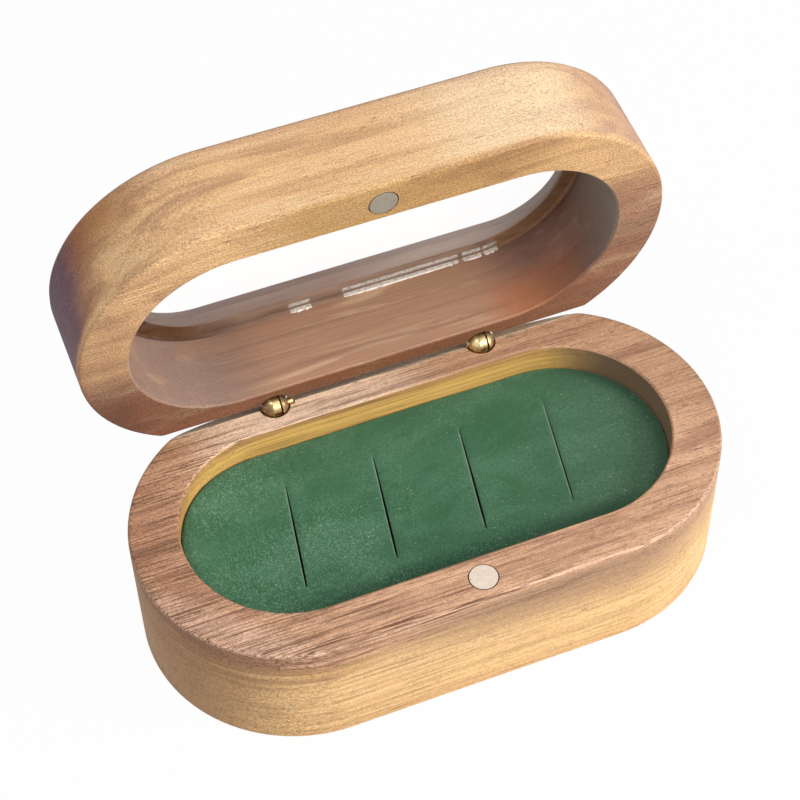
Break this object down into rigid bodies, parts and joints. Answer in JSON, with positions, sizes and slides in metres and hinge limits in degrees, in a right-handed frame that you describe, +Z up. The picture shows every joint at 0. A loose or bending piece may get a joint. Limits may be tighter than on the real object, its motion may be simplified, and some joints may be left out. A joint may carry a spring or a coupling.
{
  "type": "ring display box",
  "caption": "Stadium-shaped wooden ring box with a hinged window lid, slotted suede ring pad, brass knuckle barrel hinges and a magnet catch.",
  "frame": {"origin": "centre of the base's flat underside", "axes": "+X along the box, +Y towards the hinge side, +Z up; the lid stands open on its hinge stops at rest"},
  "size_m": [0.12, 0.08, 0.0894],
  "materials": {
    "base_wood": "satin",
    "lid_wood": "satin",
    "suede": "matte",
    "foam": "matte",
    "card": "matte",
    "antique_brass": "satin",
    "nickel": "satin",
    "clear_pane": "gloss",
    "clear_glue": "gloss"
  },
  "bodies": {
    "base": {"base_body": "base_wood", "backing_card": "card", "foam_block": "foam", "suede_cover": "suede", "base_magnet": "nickel", "left_base_barrel": "antique_brass", "right_base_barrel": "antique_brass", "left_hinge_pin": "antique_brass", "right_hinge_pin": "antique_brass"},
    "lid": {"lid_frame": "lid_wood", "window_pane": "clear_pane", "pane_glue_bead": "clear_glue", "lid_magnet": "nickel", "left_lid_barrel": "antique_brass", "right_lid_barrel": "antique_brass"}
  },
  "joints": [
    {"name": "lid_hinge", "type": "hinge", "parent": "base", "child": "lid", "pos_m": [0, 0.0273, 0.02905], "axis": [1, 0, 0], "range_deg": [0, 84.7]}
  ]
}
